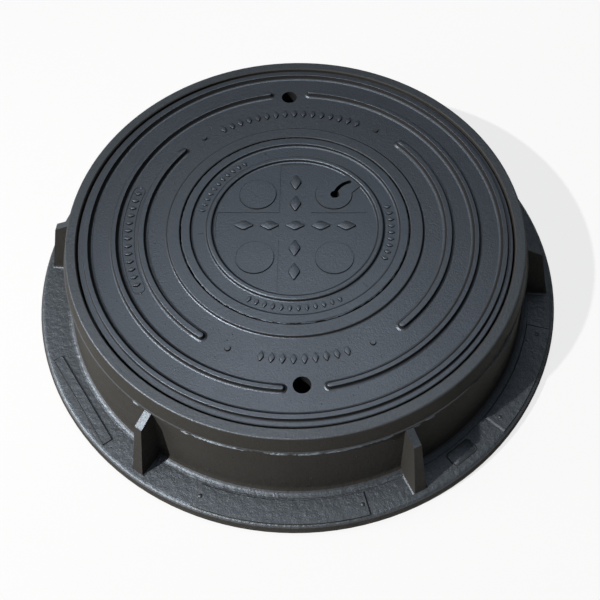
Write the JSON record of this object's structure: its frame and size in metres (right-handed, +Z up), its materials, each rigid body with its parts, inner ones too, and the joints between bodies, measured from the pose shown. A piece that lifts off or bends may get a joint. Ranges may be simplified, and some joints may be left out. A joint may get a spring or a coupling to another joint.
{
  "type": "water meter manhole",
  "caption": "Round cast-iron meter vault frame with base flange and gussets, a ribbed lift-out cover and a latched reader lid in its middle.",
  "frame": {"origin": "centre of the frame's foot, on the surface that it stands on", "axes": "+Z up through the cover; the two pick holes lie on the Y axis, the picture is taken from the -Y side"},
  "size_m": [0.846, 0.846, 0.165],
  "materials": {
    "frame_iron": "thin dark asphalt paint on sand-cast iron",
    "cover_iron": "thin dark asphalt paint on sand-cast iron",
    "lid_iron": "thin dark asphalt paint on sand-cast iron",
    "latch_steel": "dark painted steel flat bar",
    "bolt_steel": "plain zinc-plated steel"
  },
  "bodies": {
    "manhole": {"ring_frame": "frame_iron", "cover": "cover_iron", "reader_lid": "lid_iron", "latch_bolt": "bolt_steel", "latch_washer": "bolt_steel"},
    "latch": {"latch_bar": "latch_steel"}
  },
  "joints": [
    {"name": "latch_swing", "type": "hinge", "parent": "manhole", "child": "latch", "pos_m": [0.09486, 0.0473, 0.1212], "axis": [0, 0, -1], "range_deg": [0, 62]}
  ]
}
